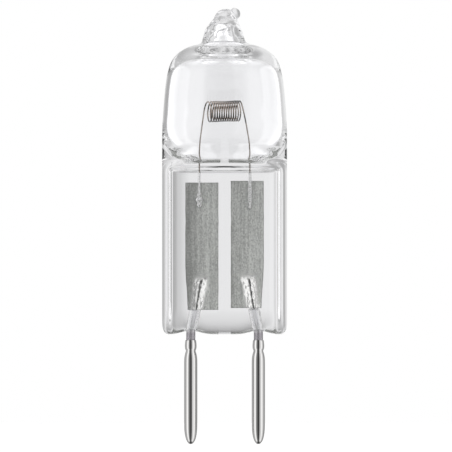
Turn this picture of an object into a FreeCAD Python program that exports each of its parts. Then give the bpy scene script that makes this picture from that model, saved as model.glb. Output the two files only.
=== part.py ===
import FreeCAD, Part
import math
import os

import Sketcher

# Halogen capsule bulb: a pinched quartz envelope round a coiled filament, on two contact pins.
# +Z points from the pins to the dome, X runs through both pins and -Y is the front.
# The origin lies midway between the pins, in the plane where their straight contact walls begin.

Vector = FreeCAD.Vector
UP = Vector(0, 0, 1)

# Driving dimensions: millimetres, degrees for the angles and a plain count for the turns
DIMENSIONS = {
    # Contact pins and their crimped collars
    "pin_pitch": 6.35,
    "pin_diameter": 1.25,
    "pin_wall_length": 6.7,
    "pin_nose_length": 1.04,
    "pin_tip_diameter": 0.42,
    "pin_tip_height": 0.14,
    "pin_shoulder_height": 0.93,
    "waist_diameter": 0.92,
    "collar_height": 1.0,
    "collar_lip_diameter": 1.0,
    "collar_bulge_radius": 1.9,
    "crimp_wall": 0.12,
    "crimp_height": 0.6,
    "sleeve_gap": 0.01,
    "bore_end_gap": 0.1,
    # Outer leads
    "lead_diameter": 0.86,
    "lead_seat_depth": 2.6,
    "lead_bend_radius": 3.0,
    "lead_top_spread": 4.55,
    "lead_overlap": 2.6,
    "channel_gap": 0.1,
    # Sealing foils
    "foil_width": 3.13,
    "foil_length": 11.9,
    "foil_thickness": 0.03,
    "foil_spacing": 4.3,
    "foil_inset": 2.34,
    "foil_draw_in": 0.22,
    "ridge_gap": 0.02,
    "ridge_flare": 0.22,
    "ridge_fade": 0.7,
    # Pinch
    "base_height": 2.52,
    "pinch_height": 15.35,
    "rib_thickness": 3.8,
    "web_thickness": 3.0,
    "web_width": 9.7,
    "recess_draft": 45.0,
    "edge_rounding": 1.9,
    "edge_trim": 0.06,
    "pinch_corner_radius": 0.75,
    "corner_clearance": 0.05,
    "notch_depth": 0.28,
    "notch_width": 1.5,
    # Bulb and dome
    "bulb_diameter": 11.75,
    "neck_radius": 6.0,
    "lip_radius": 1.2,
    "belly_height": 18.95,
    "dome_height": 27.35,
    "crown_rise": 0.48,
    "shoulder_diameter": 10.57,
    "shoulder_radius": 3.3,
    "wall_thickness": 0.55,
    "crown_thickness": 1.15,
    "inner_shoulder_radius": 2.6,
    "floor_thickness": 0.78,
    "floor_corner_radius": 2.4,
    "floor_dip": 0.2,
    # Sealed exhaust tip
    "tip_base_diameter": 4.1,
    "tip_base_fillet": 0.25,
    "tip_shoulder_diameter": 3.5,
    "tip_shoulder_height": 1.25,
    "tip_shoulder_fillet": 1.0,
    "tip_neck_diameter": 2.4,
    "tip_neck_height": 2.12,
    "tip_height": 3.08,
    "bead_diameter": 1.04,
    "bead_offset": 1.0,
    "bead_drop": 0.3,
    "bead_fillet": 0.12,
    "bore_mouth_diameter": 3.4,
    "bore_end_diameter": 2.0,
    "bore_depth": 2.6,
    "bore_mouth_fillet": 0.4,
    "bore_end_fillet": 0.6,
    # Filament
    "wire_diameter": 0.16,
    "coil_diameter": 1.6,
    "coil_length": 3.46,
    "coil_whole_turns": 15,
    "coil_height": 20.84,
    "coil_offset": 0.12,
    "coil_yaw": 15.0,
    "leg_spread": 4.74,
    "leg_overlap": 2.4,
    "leg_bend_radius": 1.5,
    "leg_tail": 0.5,
    "leg_entry_height": 0.4,
    "leg_gap": 0.07,
    "weld_gap": 0.005,
}

# What the cutting shapes stand proud of the glass that they cut
OVERSHOOT = 1.0
SAME_PLACE = 1e-6
SIDES = (("left", -1), ("right", 1))

doc = FreeCAD.newDocument("halogen_capsule_bulb")
sheet = doc.addObject("Spreadsheet::Sheet", "dims")
for line, (alias, value) in enumerate(DIMENSIONS.items(), start=1):
    sheet.set(f"A{line}", alias)
    sheet.set(f"B{line}", str(value))
    sheet.setAlias(f"B{line}", alias)
doc.recompute()


class Size:
    """A number together with the sheet expression that gives it."""

    def __init__(self, value, text):
        self.value = value
        self.text = text

    def __add__(self, other):
        other = as_size(other)
        return Size(self.value + other.value, f"({self.text} + {other.text})")

    def __sub__(self, other):
        other = as_size(other)
        return Size(self.value - other.value, f"({self.text} - {other.text})")

    def __mul__(self, other):
        other = as_size(other)
        return Size(self.value * other.value, f"({self.text} * {other.text})")

    def __truediv__(self, other):
        other = as_size(other)
        return Size(self.value / other.value, f"({self.text} / {other.text})")

    def __neg__(self):
        return as_size(0) - self


def as_size(number):
    return number if isinstance(number, Size) else Size(float(number), str(number))


def dim(alias):
    return Size(float(sheet.get(alias)), f"dims.{alias}")


def half(alias):
    return dim(alias) / 2


def root(size):
    return Size(math.sqrt(size.value), f"sqrt({size.text})")


def body_plane(body, role):
    return next(f for f in body.Origin.OriginFeatures if f.Role == role)


def new_sketch(body, name, role, offset=0):
    """An empty sketch on one of the body's own origin planes, moved along the plane's normal."""
    sketch = body.newObject("Sketcher::SketchObject", name)
    sketch.AttachmentSupport = [(body_plane(body, role), "")]
    sketch.MapMode = "FlatFace"
    sketch.setExpression("AttachmentOffset.Base.z", as_size(offset).text)
    return sketch


def tie(sketch, kind, name, geometry, point, size):
    """A named dimension on a point or an arc, bound to the sheet."""
    target = (geometry,) if point is None else (geometry, point)
    index = sketch.addConstraint(Sketcher.Constraint(kind, *target, size.value))
    sketch.renameConstraint(index, name)
    sketch.setExpression(f"Constraints.{name}", size.text)


def place_point(sketch, number, geometry, point, place):
    """Ties a vertex to its coordinates, or to the sketch's axes where a coordinate is nil."""
    for kind, axis, letter, size in zip(("DistanceX", "DistanceY"), (-2, -1), "xy", place):
        if isinstance(size, Size):
            tie(sketch, kind, f"{letter}{number}", geometry, point, size)
        else:
            sketch.addConstraint(Sketcher.Constraint("PointOnObject", geometry, point, axis))


def arc_centre(points, index, rule):
    """The centre of the arc from one vertex to the next, by the rule that settles it."""
    start, end = points[index], points[(index + 1) % len(points)]
    if rule == "axis":
        height = (end.Length**2 - start.Length**2) / (2 * (end.y - start.y))
        return Vector(0, height, 0)
    if isinstance(rule, tuple):
        radius, side = rule
        chord = end - start
        across = Vector(-chord.y, chord.x, 0).normalize()
        return (start + end) / 2 + across * side * math.sqrt(radius.value**2 - (chord.Length / 2) ** 2)
    near, far, along = {
        "previous": (start, end, start - points[index - 1]),
        "next": (end, start, points[(index + 2) % len(points)] - end),
    }[rule]
    across = Vector(-along.y, along.x, 0).normalize()
    gap = far - near
    return near + across * (gap.Length**2 / (2 * gap.dot(across)))


def draw_outline(sketch, vertices, arcs=None, closed=True):
    """An outline through the vertices. Its arcs are tangent to a neighbouring line, centred on the
    axis, or of a given radius."""
    arcs = arcs or {}
    points = [Vector(as_size(x).value, as_size(y).value, 0) for x, y in vertices]
    runs = len(points) if closed else len(points) - 1
    ends = []
    for index in range(runs):
        start, end = points[index], points[(index + 1) % len(points)]
        if index not in arcs:
            sketch.addGeometry(Part.LineSegment(start, end), False)
            ends.append((1, 2))
            continue
        centre = arc_centre(points, index, arcs[index])
        first, last = start - centre, end - centre
        turns_left = first.cross(last).z > 0
        if not turns_left:
            first, last = last, first
        begin = math.atan2(first.y, first.x)
        sweep = (math.atan2(last.y, last.x) - begin) % (2 * math.pi)
        circle = Part.Circle(centre, UP, first.Length)
        sketch.addGeometry(Part.ArcOfCircle(circle, begin, begin + sweep), False)
        ends.append((1, 2) if turns_left else (2, 1))
    for index in range(runs if closed else runs - 1):
        after = (index + 1) % runs
        tangent = arcs.get(index) == "next" or arcs.get(after) == "previous"
        joint = "Tangent" if tangent else "Coincident"
        sketch.addConstraint(Sketcher.Constraint(joint, index, ends[index][1], after, ends[after][0]))
    for index in range(runs):
        place_point(sketch, index, index, ends[index][0], vertices[index])
    if not closed:
        place_point(sketch, runs, runs - 1, ends[-1][1], vertices[-1])
    for index, rule in arcs.items():
        if rule == "axis":
            sketch.addConstraint(Sketcher.Constraint("PointOnObject", index, 3, -2))
        elif isinstance(rule, tuple):
            tie(sketch, "Radius", f"radius{index}", index, None, rule[0])


def circle_sketch(body, name, height, radius):
    """A round section on the body's own Z axis."""
    sketch = new_sketch(body, name, "XY_Plane", height)
    sketch.addGeometry(Part.Circle(Vector(), UP, radius.value), False)
    place_point(sketch, 0, 0, 3, (0, 0))
    tie(sketch, "Radius", "radius", 0, None, radius)
    return sketch


def new_body(name):
    return doc.addObject("PartDesign::Body", name)


def turned(body, name, vertices, arcs=None, kind="Revolution"):
    """A revolved feature: an outline of radius and height, turned round the body's own Z axis."""
    sketch = new_sketch(body, f"{name}_outline", "XZ_Plane")
    draw_outline(sketch, vertices, arcs)
    feature = body.newObject(f"PartDesign::{kind}", name)
    feature.Profile = sketch
    feature.ReferenceAxis = (sketch, ["V_Axis"])
    feature.Angle = 360
    doc.recompute()
    return feature


def round_edges(feature, wanted):
    """The names of the feature's round edges that the test picks by their circle."""
    edges = [(f"Edge{number}", edge) for number, edge in enumerate(feature.Shape.Edges, start=1)]
    circles = [(name, edge.Curve) for name, edge in edges if not edge.Degenerated]
    return [name for name, curve in circles if isinstance(curve, Part.Circle) and wanted(curve)]


def rounded(body, base, name, place, radius):
    """A fillet on the turned edge at that radius and height."""
    edge_radius, edge_height = [size.value for size in place]

    def at_place(circle):
        off = max(abs(circle.Radius - edge_radius), abs(circle.Center.z - edge_height))
        return off < SAME_PLACE

    fillet = body.newObject("PartDesign::Fillet", name)
    fillet.Base = (base, round_edges(base, at_place))
    fillet.setExpression("Radius", radius.text)
    doc.recompute()
    return fillet


def slab(name, role, vertices, arcs, length):
    """An outline padded to both sides of an origin plane, to press or trim the glass with."""
    body = new_body(name)
    sketch = new_sketch(body, f"{name}_outline", role)
    draw_outline(sketch, vertices, arcs)
    pad = body.newObject("PartDesign::Pad", f"{name}_pad")
    pad.Profile = sketch
    pad.SideType = "Symmetric"
    pad.setExpression("Length", length.text)
    return body


def boolean(kind, name, base, tool):
    feature = doc.addObject(f"Part::{kind}", name)
    feature.Base = base
    feature.Tool = tool
    return feature


# Heights and radii that the pieces share
pin_radius = half("pin_diameter")
waist_radius = half("waist_diameter")
lead_radius = half("lead_diameter")
bore_radius = lead_radius + dim("sleeve_gap")
bulb_radius = half("bulb_diameter")
rib_half = half("rib_thickness")
web_half = half("web_thickness")
waist_height = dim("pin_shoulder_height")
crimp_radius = waist_radius - dim("crimp_wall")
crimp_half = half("crimp_height")
base_height = dim("base_height")
pinch_top = base_height + dim("pinch_height")
belly = base_height + dim("belly_height")
crown = base_height + dim("dome_height")
crown_edge = crown - dim("crown_rise")
foil_bottom = base_height + dim("foil_inset")
foil_top = foil_bottom + dim("foil_length")
lead_top = foil_bottom + dim("lead_overlap")
lead_shift = half("lead_top_spread") - half("pin_pitch")
leg_depth = -half("foil_thickness") - half("wire_diameter") - dim("weld_gap")
leg_end = foil_top - dim("leg_overlap")
cavity_floor = pinch_top + dim("floor_thickness")
leg_entry = cavity_floor + dim("leg_entry_height")
cavity_radius = bulb_radius - dim("wall_thickness")
inner_crown = crown - dim("crown_thickness")

# The jaws leave a rounded neck that runs into the flat of the pinch through a small lip
neck_reach = dim("neck_radius") + dim("lip_radius")
neck_across = rib_half + dim("lip_radius") - bulb_radius + dim("neck_radius")
neck_drop = root(neck_reach * neck_reach - neck_across * neck_across)
neck_top = pinch_top + neck_drop
neck_share = dim("neck_radius") / neck_reach
lip_end_across = bulb_radius - dim("neck_radius") + neck_across * neck_share
lip_end_height = neck_top - neck_drop * neck_share


def lead_points(side, start, extra):
    """The lead's run beside its pin's axis: up the pin, round the bend, slanting to the top and past it."""
    radius = dim("lead_bend_radius")
    across = lead_shift + radius
    rise = lead_top - base_height
    reach = across * across + rise * rise
    run = root(reach - radius * radius)
    normal_x = (across * radius + rise * run) / reach
    normal_z = (rise * radius - across * run) / reach
    bend_end = (radius * normal_x - radius, base_height + radius * normal_z)
    top = (lead_shift - normal_z * extra, lead_top + normal_x * extra)
    return [(0, start), (0, base_height)] + [(x * side, z) for x, z in (bend_end, top)]


# The lead's slant and the inside radius of the ridge that the foil forms over it
bend_end, slant_top = lead_points(1, base_height, as_size(0))[2:]
lead_slant = math.atan2(bend_end[0].value - slant_top[0].value, slant_top[1].value - bend_end[1].value)
ridge_radius = lead_radius.value / math.cos(lead_slant) + dim("ridge_gap").value


def make_sleeve(name, side):
    """A contact pin: a drawn sleeve with an ogive nose, rolled in at its waist to grip the lead."""
    collar_top = waist_height + dim("collar_height")
    nose = -dim("pin_wall_length") - dim("pin_nose_length")
    bore_end = -dim("lead_seat_depth") - dim("bore_end_gap")
    body = new_body(name)
    vertices = [
        (0, nose - dim("pin_tip_height")),
        (half("pin_tip_diameter"), nose),
        (pin_radius, -dim("pin_wall_length")),
        (pin_radius, 0),
        (waist_radius, waist_height),
        (half("collar_lip_diameter"), collar_top),
        (bore_radius, collar_top),
        (bore_radius, waist_height + crimp_half),
        (crimp_radius, waist_height),
        (bore_radius, waist_height - crimp_half),
        (bore_radius, bore_end),
        (0, bore_end),
    ]
    arcs = {0: "axis", 1: "next", 3: "previous", 4: (dim("collar_bulge_radius"), 1)}
    turned(body, f"{name}_turning", vertices, arcs)
    body.setExpression("Placement.Base.x", (half("pin_pitch") * side).text)
    return body


def make_wire(name, side, radius, start, extra):
    """A round bar along the lead's run."""
    body = new_body(name)
    path = new_sketch(body, f"{name}_path", "XZ_Plane")
    draw_outline(path, lead_points(side, start, extra), {1: "previous"}, closed=False)
    section = circle_sketch(body, f"{name}_section", start, radius)
    pipe = body.newObject("PartDesign::AdditivePipe", f"{name}_pipe")
    pipe.Profile = section
    pipe.Spine = path
    body.setExpression("Placement.Base.x", (half("pin_pitch") * side).text)
    doc.recompute()
    return body


def make_lead(name, side):
    """An outer lead, necked where the sleeve's waist is rolled into it."""
    body = make_wire(name, side, lead_radius, -dim("lead_seat_depth"), as_size(0))
    neck_radius = crimp_radius - dim("sleeve_gap")
    clear_radius = lead_radius + dim("channel_gap")
    spread = crimp_half * (clear_radius - neck_radius) / (bore_radius - crimp_radius)
    vertices = [
        (neck_radius, waist_height),
        (clear_radius, waist_height + spread),
        (clear_radius, waist_height - spread),
    ]
    turned(body, f"{name}_crimp", vertices, kind="Groove")
    return body


def foil_section(side, height, outer_edge, centre, raised):
    """One closed section of a foil, flat or raised towards the front in a ridge over the lead."""
    thickness = dim("foil_thickness").value
    inner_edge = (half("foil_spacing") - half("foil_width")).value
    foot = ridge_radius + thickness + dim("ridge_flare").value
    rows = []
    for radius, plane in ((ridge_radius + thickness, -thickness / 2), (ridge_radius, thickness / 2)):
        turn = math.atan2(plane, foot) - math.acos(radius / math.hypot(foot, plane))
        flank = (radius * math.cos(turn), radius * math.sin(turn) if raised else plane)
        row = [
            (min(inner_edge, centre - foot - thickness), plane),
            (centre - foot, plane),
            (centre - flank[0], flank[1]),
            (centre, -radius if raised else plane),
            (centre + flank[0], flank[1]),
            (centre + foot, plane),
            (max(outer_edge, centre + foot + thickness), plane),
        ]
        rows.append([Vector(x * side, y, height) for x, y in row])
    front, back = rows
    edges = []
    for row, across in ((front, back[-1]), (back[::-1], front[0])):
        crest = Part.Arc(*row[2:5]) if raised else Part.LineSegment(row[2], row[4])
        edges += [Part.LineSegment(row[0], row[1]), Part.LineSegment(row[1], row[2]), crest]
        edges += [Part.LineSegment(row[4], row[5]), Part.LineSegment(row[5], row[6])]
        edges.append(Part.LineSegment(row[6], across))
    return Part.Wire([edge.toShape() for edge in edges])


def make_foil(name, side):
    """A thin foil, drawn over the top of the lead that is welded behind its lower end."""
    slope = math.tan(lead_slant)
    outer_edge = (half("foil_spacing") + half("foil_width")).value
    drawn_edge = outer_edge - dim("foil_draw_in").value
    ridge_top = lead_top.value + lead_radius.value * slope + dim("ridge_gap").value
    flat_from = ridge_top + dim("ridge_fade").value
    sections = []
    for height, edge, raised in (
        (foil_bottom.value, drawn_edge, True),
        (ridge_top, drawn_edge, True),
        (flat_from, outer_edge, False),
        (foil_top.value, outer_edge, False),
    ):
        below_top = lead_top.value - min(height, ridge_top)
        centre = half("lead_top_spread").value + below_top * slope
        sections.append(foil_section(side, height, edge, centre, raised))
    foil = doc.addObject("Part::Feature", name)
    foil.Shape = Part.makeLoft(sections, True, True)
    return foil


def bent_run(points, radius):
    """Straight edges through the points, with a tangent arc at each corner."""
    edges = []
    start = points[0]
    for before, corner, after in zip(points, points[1:], points[2:]):
        back = (before - corner).normalize()
        ahead = (after - corner).normalize()
        turn = math.pi - back.getAngle(ahead)
        set_back = radius * math.tan(turn / 2)
        inwards = (back + ahead).normalize()
        first, last = corner + back * set_back, corner + ahead * set_back
        middle = corner + inwards * (radius / math.cos(turn / 2) - radius)
        edges.append(Part.LineSegment(start, first).toShape())
        edges.append(Part.Arc(first, middle, last).toShape())
        start = last
    edges.append(Part.LineSegment(start, points[-1]).toShape())
    return edges


def filament_path():
    """The wire's centre line: up the left leg, round the coil from left to right, down the right leg."""
    yaw = math.radians(dim("coil_yaw").value)
    turns = round(dim("coil_whole_turns").value) + 0.5
    length, radius = dim("coil_length").value, half("coil_diameter").value
    pitch = length / turns
    along = Vector(math.cos(yaw), math.sin(yaw), 0)
    back = Vector(-math.sin(yaw), math.cos(yaw), 0)
    middle = Vector(-dim("coil_offset").value, 0, (base_height + dim("coil_height")).value)
    coil = Part.makeHelix(pitch, length, radius)
    turn = FreeCAD.Rotation(back, UP, along, "ZXY")
    coil.Placement = FreeCAD.Placement(middle - along * (length / 2), turn)
    legs = []
    for side in (-1, 1):
        coil_end = middle + along * (side * length / 2) - back * (side * radius)
        rise = UP * (2 * math.pi * radius)
        leaving = (rise + along * (-side * pitch)).normalize() * -1
        entry = Vector(side * half("leg_spread").value, leg_depth.value, leg_entry.value)
        foot = Vector(entry.x, entry.y, leg_end.value)
        points = [coil_end, coil_end + leaving * dim("leg_tail").value, entry, foot]
        legs.append(bent_run(points, dim("leg_bend_radius").value))
    return Part.Wire(Part.sortEdges(legs[0] + coil.Edges + legs[1])[0])


def make_filament(name):
    """The tungsten wire, swept along its coil and legs in one piece."""
    path = doc.addObject("Part::Feature", f"{name}_path")
    path.Shape = filament_path()
    section = doc.addObject("Part::Circle", f"{name}_section")
    section.setExpression("Radius", half("wire_diameter").text)
    section.setExpression("Placement.Base.x", (-half("leg_spread")).text)
    section.setExpression("Placement.Base.y", leg_depth.text)
    section.setExpression("Placement.Base.z", leg_end.text)
    doc.recompute()
    sweep = doc.addObject("Part::Sweep", name)
    sweep.Sections = [section]
    sweep.Spine = (path, [f"Edge{number + 1}" for number in range(len(path.Shape.Edges))])
    sweep.Solid = True
    sweep.Frenet = False
    return sweep


def make_blank():
    """The outside of the blown bulb as turned, with its sealed tip and the bead where the tip was cut."""
    body = new_body("glass_blank")
    tip_top = crown + dim("tip_height")
    shoulder = (half("shoulder_diameter"), crown_edge)
    tip_base = (half("tip_base_diameter"), crown)
    tip_shoulder = (half("tip_shoulder_diameter"), crown + dim("tip_shoulder_height"))
    vertices = [
        (0, base_height - dim("edge_trim")),
        (bulb_radius, base_height - dim("edge_trim")),
        (bulb_radius, belly),
        shoulder,
        tip_base,
        tip_shoulder,
        (half("tip_neck_diameter"), crown + dim("tip_neck_height")),
        (0, tip_top),
    ]
    solid = turned(body, "blank_turning", vertices, {6: "axis"})
    solid = rounded(body, solid, "blank_shoulder", shoulder, dim("shoulder_radius"))
    solid = rounded(body, solid, "blank_tip_base", tip_base, dim("tip_base_fillet"))
    rounded(body, solid, "blank_tip_shoulder", tip_shoulder, dim("tip_shoulder_fillet"))
    bead = body.newObject("PartDesign::AdditiveSphere", "blank_bead")
    bead.AttachmentSupport = [(body_plane(body, "XY_Plane"), "")]
    bead.MapMode = "FlatFace"
    bead.setExpression("Radius", half("bead_diameter").text)
    bead.setExpression("AttachmentOffset.Base.x", dim("bead_offset").text)
    bead.setExpression("AttachmentOffset.Base.z", (tip_top - dim("bead_drop")).text)
    doc.recompute()

    def round_bead(circle):
        return circle.Center.x > SAME_PLACE and circle.Radius < half("bead_diameter").value - SAME_PLACE

    fold = body.newObject("PartDesign::Fillet", "blank_bead_fold")
    fold.Base = (bead, round_edges(bead, round_bead))
    fold.setExpression("Radius", dim("bead_fillet").text)
    return body


def make_jaws():
    """What the pinching jaws leave: the flat pinch with its rounded foot, the lip and the round neck."""
    above = crown + dim("tip_height") + OVERSHOOT
    foot = base_height - dim("edge_trim")
    front = [
        (rib_half, foot + dim("edge_rounding")),
        (rib_half, pinch_top),
        (lip_end_across, lip_end_height),
        (bulb_radius, neck_top),
        (bulb_radius, above),
    ]
    vertices = [(0, foot)] + front + [(-y, z) for y, z in reversed(front)]
    arcs = {0: "next", 2: "previous", 3: "next", 7: "previous", 8: "next", 10: "previous"}
    return slab("pinch_jaws", "YZ_Plane", vertices, arcs, (bulb_radius + OVERSHOOT) * 2)


def make_recess(name, turn):
    """The shallow flat between the pinch's two ribs, with sloping sides, on the front or the back."""
    body = new_body(name)
    step = rib_half - web_half
    top = pinch_top - step
    foot = base_height - OVERSHOOT
    sketch = new_sketch(body, f"{name}_outline", "XZ_Plane", web_half)
    across = half("web_width")
    draw_outline(sketch, [(-across, foot), (across, foot), (across, top), (-across, top)])
    pad = body.newObject("PartDesign::Pad", f"{name}_pad")
    pad.Profile = sketch
    pad.setExpression("Length", (step + OVERSHOOT).text)
    pad.setExpression("TaperAngle", dim("recess_draft").text)
    body.Placement = FreeCAD.Placement(Vector(), FreeCAD.Rotation(UP, turn))
    return body


def make_foot_trim():
    """The cut along the pinch's foot: round corners, a sagging middle and a dip at each lead."""
    wide = bulb_radius + OVERSHOOT
    corner = bulb_radius + dim("corner_clearance")
    round_radius = dim("pinch_corner_radius")
    dip = base_height + dim("notch_depth")
    dip_out = half("pin_pitch") + half("notch_width")
    dip_in = half("pin_pitch") - half("notch_width")
    sag_radius = (dip_in * dip_in / dim("notch_depth") + dim("notch_depth")) / 2
    right = [
        (wide, base_height - OVERSHOOT),
        (wide, base_height + round_radius),
        (corner, base_height + round_radius),
        (corner - round_radius, base_height),
        (dip_out, dip),
        (dip_in, dip),
    ]
    vertices = right + [(-x, z) for x, z in reversed(right)]
    arcs = {2: (round_radius, -1), 5: (sag_radius, -1), 8: (round_radius, -1)}
    return slab("foot_trim", "XZ_Plane", vertices, arcs, (bulb_radius + OVERSHOOT) * 2)


def make_cavity():
    """The gas space: turned inside the bulb and up into the tip, and pressed flat above the pinch."""
    body = new_body("cavity_turned")
    low = cavity_floor - dim("floor_dip")
    corner = (cavity_radius, low)
    shoulder = (half("shoulder_diameter") - dim("wall_thickness"), inner_crown - dim("crown_rise"))
    mouth = (half("bore_mouth_diameter"), inner_crown)
    end = (half("bore_end_diameter"), inner_crown + dim("bore_depth"))
    vertices = [(0, low), corner, (cavity_radius, belly), shoulder, mouth, end, (0, end[1])]
    solid = turned(body, "cavity_turning", vertices)
    for name, place, radius in (
        ("cavity_corner", corner, "floor_corner_radius"),
        ("cavity_shoulder", shoulder, "inner_shoulder_radius"),
        ("bore_mouth", mouth, "bore_mouth_fillet"),
        ("bore_end", end, "bore_end_fillet"),
    ):
        solid = rounded(body, solid, name, place, dim(radius))
    above = crown + dim("tip_height")
    right = [(cavity_radius, neck_top), (cavity_radius, above)]
    vertices = [(0, cavity_floor)] + right + [(-y, z) for y, z in reversed(right)]
    pressed = slab("cavity_pressed", "YZ_Plane", vertices, {0: "next", 4: "previous"}, bulb_radius * 2)
    return boolean("Common", "cavity", body, pressed)


def make_leg_channel(name, side):
    """The capillary that the quartz leaves round a filament leg."""
    bore = doc.addObject("Part::Cylinder", name)
    low = leg_end - dim("leg_gap")
    bore.setExpression("Radius", (half("wire_diameter") + dim("leg_gap")).text)
    bore.setExpression("Height", (leg_entry - low).text)
    bore.setExpression("Placement.Base.x", (half("leg_spread") * side).text)
    bore.setExpression("Placement.Base.y", leg_depth.text)
    bore.setExpression("Placement.Base.z", low.text)
    return bore


def make_envelope(name, foils):
    """The quartz: blown blank, pressed by the jaws, hollowed, and closed round the wires and foils."""
    glass = boolean("Common", "glass_pressed", make_blank(), make_jaws())
    hollows = [make_recess("front_recess", 0), make_recess("back_recess", 180), make_foot_trim(), make_cavity()]
    for end, side in SIDES:
        channel_radius = lead_radius + dim("channel_gap")
        channel_foot = base_height - OVERSHOOT
        hollows.append(make_wire(f"lead_channel_{end}", side, channel_radius, channel_foot, dim("channel_gap")))
        hollows.append(make_leg_channel(f"leg_channel_{end}", side))
    hollows += foils
    for number, hollow in enumerate(hollows, start=1):
        last = number == len(hollows)
        glass = boolean("Cut", name if last else f"glass_cut_{number}", glass, hollow)
    return glass


foils = [make_foil(f"foil_{end}", side) for end, side in SIDES]
pieces = [make_envelope("glass_envelope", foils), make_filament("filament")] + foils
for end, side in SIDES:
    pieces.append(make_lead(f"outer_lead_{end}", side))
    pieces.append(make_sleeve(f"pin_sleeve_{end}", side))
doc.recompute()

# Nothing is written unless every feature and every piece came out sound
for thing in doc.Objects:
    if "Invalid" in thing.State or "Error" in thing.State:
        raise RuntimeError(f"{thing.Label} could not be built: {thing.State}")
for piece in pieces:
    if piece.Shape.isNull() or not piece.Shape.isValid() or not piece.Shape.Solids:
        raise RuntimeError(f"{piece.Label} is not a sound solid")

os.makedirs("parts", exist_ok=True)
for piece in pieces:
    piece.Shape.exportStep(f"parts/{piece.Label}.step")
    print(piece.Label, len(piece.Shape.Solids), "solid", round(piece.Shape.Volume, 4), "mm3")
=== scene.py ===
import math

import bmesh
import bpy
from bpy.props import FloatProperty, FloatVectorProperty, IntProperty, PointerProperty
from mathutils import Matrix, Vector, noise


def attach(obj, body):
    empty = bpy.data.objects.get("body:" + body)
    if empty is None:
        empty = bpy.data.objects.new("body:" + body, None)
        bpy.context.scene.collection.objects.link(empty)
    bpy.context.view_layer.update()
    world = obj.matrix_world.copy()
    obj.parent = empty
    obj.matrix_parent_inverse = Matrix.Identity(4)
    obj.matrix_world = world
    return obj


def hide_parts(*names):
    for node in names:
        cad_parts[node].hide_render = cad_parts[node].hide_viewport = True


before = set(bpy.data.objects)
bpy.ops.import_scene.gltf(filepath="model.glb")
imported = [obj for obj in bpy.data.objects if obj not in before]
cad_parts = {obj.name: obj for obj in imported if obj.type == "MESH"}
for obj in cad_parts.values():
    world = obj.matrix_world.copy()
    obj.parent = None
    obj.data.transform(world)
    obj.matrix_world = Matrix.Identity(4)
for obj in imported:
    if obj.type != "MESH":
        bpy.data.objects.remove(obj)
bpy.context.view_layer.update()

bl_info = {
    "name": "Halogen Capsule Bulb",
    "version": (1, 0, 0),
    "blender": (4, 5, 0),
    "location": "View3D > Sidebar > Capsule Bulb",
    "description": "Dresses the solids of a two-pin halogen capsule bulb",
    "category": "Object",
}

# Sizes are in millimetres and angles in radians, unless a comment says otherwise
MM = 0.001
SIDES = (("left", -1), ("right", 1))
# Places nearer to a ring than this lie on it
CLOSE = 1e-3

# The photograph's frame: its size in pixels, its scale, and the bulb's column and row in it
FRAME_PIXELS = 452
PIXELS_PER_MM = 10.65
AXIS_COLUMN = 224.6
ORIGIN_ROW = 360.5

# Outside of the quartz: height, radius, share of the depth left by the softened glass,
# half depth left by the jaws
PINCH_RINGS = [
    (2.45, 5.2, 1, 1.9), (2.49, 5.45, 1, 1.9), (2.66, 5.68, 1, 1.9), (3.0, 5.82, 1, 1.9),
    (3.4, 5.87, 1, 1.9),
    *((z, 5.88, 1, 1.9) for z in (3.9, 4.55, 5.3, 6.6, 9.0, 12.0, 15.0, 16.8, 17.5, 17.82)),
    (18.02, 5.88, 0.9, 1.9), (18.2, 5.88, 0.75, 1.98), (18.5, 5.88, 0.6, 2.2),
    (18.8, 5.88, 0.52, 2.5), (19.12, 5.88, 0.53, 2.95), (19.5, 5.88, 0.6, 3.5),
    (20.0, 5.88, 0.69, 4.1), (20.6, 5.88, 0.785, 4.7), (21.3, 5.88, 0.865, 5.2),
    (22.1, 5.85, 0.935, 5.6), (23.0, 5.80, 0.98, 5.8),
]
# Above the pinch a ring is its height, radius and any sideways shift
BULB_RINGS = [
    (24.0, 5.73), (25.0, 5.64), (25.9, 5.55), (26.7, 5.43), (27.4, 5.27), (28.0, 5.07),
    (28.5, 4.75), (28.92, 4.33), (29.25, 3.83), (29.48, 3.3), (29.62, 2.8),
    (29.71, 2.42, -0.02), (29.8, 2.17, -0.05), (29.98, 2.03, -0.07), (30.3, 1.94, -0.1),
    (30.7, 1.84, -0.11), (31.05, 1.71, -0.1), (31.38, 1.54, -0.07), (31.68, 1.36, -0.02),
    (31.95, 1.2, 0.04), (32.2, 1.08, 0.08), (32.42, 0.97, 0.1), (32.62, 0.85, 0.11),
    (32.8, 0.68, 0.13), (32.91, 0.47, 0.16), (32.98, 0.27, 0.18), (33.01, 0.11, 0.18),
]

# Inside of the quartz: height, radius and half depth of the dished floor
FLOOR_RINGS = [
    (18.82, 3.6, 0.9), (18.85, 3.95, 1.15), (18.97, 4.2, 1.47), (19.19, 4.42, 1.87),
    (19.46, 4.64, 2.3), (19.78, 4.86, 2.77), (20.18, 5.1, 3.37), (20.7, 5.31, 4.1),
    (21.37, 5.45, 4.72), (22.3, 5.48, 5.2),
]
# Above the floor a ring is its height, radius and any sideways shift
CAVITY_RINGS = [
    (23.3, 5.41), (24.4, 5.32), (25.4, 5.23), (26.2, 5.13), (26.85, 5.01), (27.35, 4.85),
    (27.79, 4.6), (28.14, 4.27), (28.36, 3.88), (28.48, 3.42), (28.53, 2.9),
    (28.56, 2.42, -0.02), (28.65, 2.0, -0.04), (28.87, 1.64, -0.06), (29.2, 1.36, -0.08),
    (29.6, 1.14, -0.1), (30.1, 0.96, -0.11), (30.6, 0.82, -0.11), (31.0, 0.69, -0.1),
    (31.25, 0.54, -0.09), (31.38, 0.35, -0.08), (31.42, 0.16, -0.08),
]

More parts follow.
